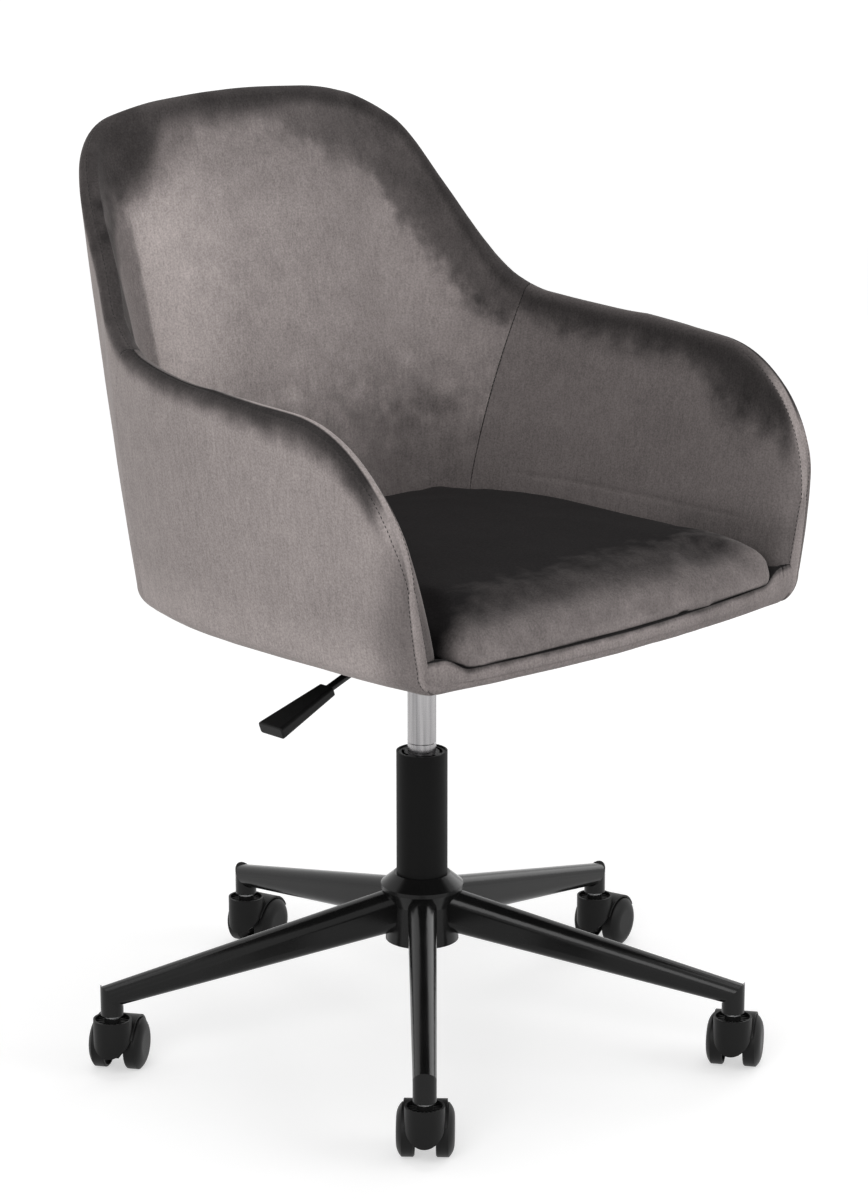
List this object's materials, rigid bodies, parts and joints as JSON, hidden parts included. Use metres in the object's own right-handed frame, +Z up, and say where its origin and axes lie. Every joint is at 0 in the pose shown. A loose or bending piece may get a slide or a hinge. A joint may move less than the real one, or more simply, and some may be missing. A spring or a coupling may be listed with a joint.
{
  "type": "swivel office chair",
  "caption": "Swivel office chair: velvet tub shell with arms and loose seat cushion, gas lift with side lever, and a star base of tapered steel legs on twin-wheel casters.",
  "frame": {"origin": "on the floor, on the column's axis", "axes": "+Z up; the sitter faces -Y; +X is the sitter's left"},
  "size_m": [0.6608, 0.6424, 0.914],
  "materials": {
    "velvet": "cut velvet pile with soft sheen and nap marks",
    "black_steel": "satin black powder coat",
    "bright_steel": "ground steel",
    "black_plastic": "fine moulded texture",
    "wheel_nylon": "smooth moulded nylon",
    "plywood": "raw plywood",
    "black_cloth": "thin nonwoven cloth"
  },
  "bodies": {
    "base": {"base_hub": "black_steel", "base_leg_1": "black_steel", "base_leg_2": "black_steel", "base_leg_3": "black_steel", "base_leg_4": "black_steel", "base_leg_5": "black_steel", "caster_sockets": "black_steel", "caster_stems": "bright_steel", "column_tube": "black_steel", "column_bush": "black_plastic", "thrust_race_lower": "bright_steel", "thrust_balls": "bright_steel"},
    "spindle": {"piston_rod": "bright_steel", "piston_head": "black_plastic", "thrust_race_upper": "bright_steel", "retaining_clip": "bright_steel"},
    "seat": {"gas_cylinder": "bright_steel", "cylinder_gland": "black_plastic", "taper_socket": "black_steel", "seat_plate": "black_steel", "lift_housing": "black_steel", "lever_bracket": "black_steel", "lever_pivot": "bright_steel", "plate_bolts": "bright_steel", "tee_nuts": "bright_steel", "seat_board": "plywood", "deck_pad": "black_cloth", "dust_cover": "black_cloth", "right_arm_pad": "velvet", "left_arm_pad": "velvet", "back_pad": "velvet", "front_rail": "velvet", "seat_cushion": "velvet"},
    "lever": {"lever_rod": "black_steel", "lever_paddle": "black_plastic"},
    "release_pin": {"release_pin": "bright_steel"},
    "caster_1": {"caster_housing_1": "black_plastic", "caster_axle_1": "bright_steel"},
    "wheel_left_1": {"wheel_left_1": "wheel_nylon"},
    "wheel_right_1": {"wheel_right_1": "wheel_nylon"},
    "caster_2": {"caster_housing_2": "black_plastic", "caster_axle_2": "bright_steel"},
    "wheel_left_2": {"wheel_left_2": "wheel_nylon"},
    "wheel_right_2": {"wheel_right_2": "wheel_nylon"},
    "caster_3": {"caster_housing_3": "black_plastic", "caster_axle_3": "bright_steel"},
    "wheel_left_3": {"wheel_left_3": "wheel_nylon"},
    "wheel_right_3": {"wheel_right_3": "wheel_nylon"},
    "caster_4": {"caster_housing_4": "black_plastic", "caster_axle_4": "bright_steel"},
    "wheel_left_4": {"wheel_left_4": "wheel_nylon"},
    "wheel_right_4": {"wheel_right_4": "wheel_nylon"},
    "caster_5": {"caster_housing_5": "black_plastic", "caster_axle_5": "bright_steel"},
    "wheel_left_5": {"wheel_left_5": "wheel_nylon"},
    "wheel_right_5": {"wheel_right_5": "wheel_nylon"}
  },
  "joints": [
    {"name": "seat_swivel", "type": "hinge", "parent": "base", "child": "spindle", "pos_m": [0, 0, 0.11], "axis": [0, 0, 1], "continuous": true},
    {"name": "seat_lift", "type": "slide", "parent": "spindle", "child": "seat", "axis": [0, 0, 1], "range_m": [-0.055, 0.045]},
    {"name": "lever_pull", "type": "hinge", "parent": "seat", "child": "lever", "pos_m": [-0.042, -0.025, 0.4288], "axis": [0, 1, 0], "range_deg": [0, 7], "stiffness_Nm_per_rad": 2},
    {"name": "release_pin_slide", "type": "slide", "parent": "seat", "child": "release_pin", "axis": [0, 0, -1], "range_m": [0, 0.0055]},
    {"name": "caster_swivel_1", "type": "hinge", "parent": "base", "child": "caster_1", "pos_m": [-0.21627, -0.2271, 0.05], "axis": [0, 0, 1], "continuous": true},
    {"name": "wheel_left_spin_1", "type": "hinge", "parent": "caster_1", "child": "wheel_left_1", "pos_m": [-0.20044, -0.21182, 0.025], "axis": [-0.6947, 0.7193, 0], "continuous": true},
    {"name": "wheel_right_spin_1", "type": "hinge", "parent": "caster_1", "child": "wheel_right_1", "pos_m": [-0.20044, -0.21182, 0.025], "axis": [-0.6947, 0.7193, 0], "continuous": true},
    {"name": "caster_swivel_2", "type": "hinge", "parent": "base", "child": "caster_2", "pos_m": [0.14916, -0.27586, 0.05], "axis": [0, 0, 1], "continuous": true},
    {"name": "wheel_left_spin_2", "type": "hinge", "parent": "caster_2", "child": "wheel_left_2", "pos_m": [0.16739, -0.26356, 0.025], "axis": [-0.5592, 0.829, 0], "continuous": true},
    {"name": "wheel_right_spin_2", "type": "hinge", "parent": "caster_2", "child": "wheel_right_2", "pos_m": [0.16739, -0.26356, 0.025], "axis": [-0.5592, 0.829, 0], "continuous": true},
    {"name": "caster_swivel_3", "type": "hinge", "parent": "base", "child": "caster_3", "pos_m": [0.30845, 0.05661, 0.05], "axis": [0, 0, 1], "continuous": true},
    {"name": "wheel_left_spin_3", "type": "hinge", "parent": "caster_3", "child": "wheel_left_3", "pos_m": [0.3298, 0.06193, 0.025], "axis": [-0.2419, 0.9703, 0], "continuous": true},
    {"name": "wheel_right_spin_3", "type": "hinge", "parent": "caster_3", "child": "wheel_right_3", "pos_m": [0.3298, 0.06193, 0.025], "axis": [-0.2419, 0.9703, 0], "continuous": true},
    {"name": "caster_swivel_4", "type": "hinge", "parent": "base", "child": "caster_4", "pos_m": [0.04148, 0.31084, 0.05], "axis": [0, 0, 1], "continuous": true},
    {"name": "wheel_left_spin_4", "type": "hinge", "parent": "caster_4", "child": "wheel_left_4", "pos_m": [0.06262, 0.31691, 0.025], "axis": [-0.2756, 0.9613, 0], "continuous": true},
    {"name": "wheel_right_spin_4", "type": "hinge", "parent": "caster_4", "child": "wheel_right_4", "pos_m": [0.06262, 0.31691, 0.025], "axis": [-0.2756, 0.9613, 0], "continuous": true},
    {"name": "caster_swivel_5", "type": "hinge", "parent": "base", "child": "caster_5", "pos_m": [-0.28281, 0.1355, 0.05], "axis": [0, 0, 1], "continuous": true},
    {"name": "wheel_left_spin_5", "type": "hinge", "parent": "caster_5", "child": "wheel_left_5", "pos_m": [-0.26458, 0.1478, 0.025], "axis": [-0.5592, 0.829, 0], "continuous": true},
    {"name": "wheel_right_spin_5", "type": "hinge", "parent": "caster_5", "child": "wheel_right_5", "pos_m": [-0.26458, 0.1478, 0.025], "axis": [-0.5592, 0.829, 0], "continuous": true}
  ],
  "couplings": [
    {"joint": "release_pin_slide", "follows": "lever_pull", "m_per_rad": 0.042}
  ]
}
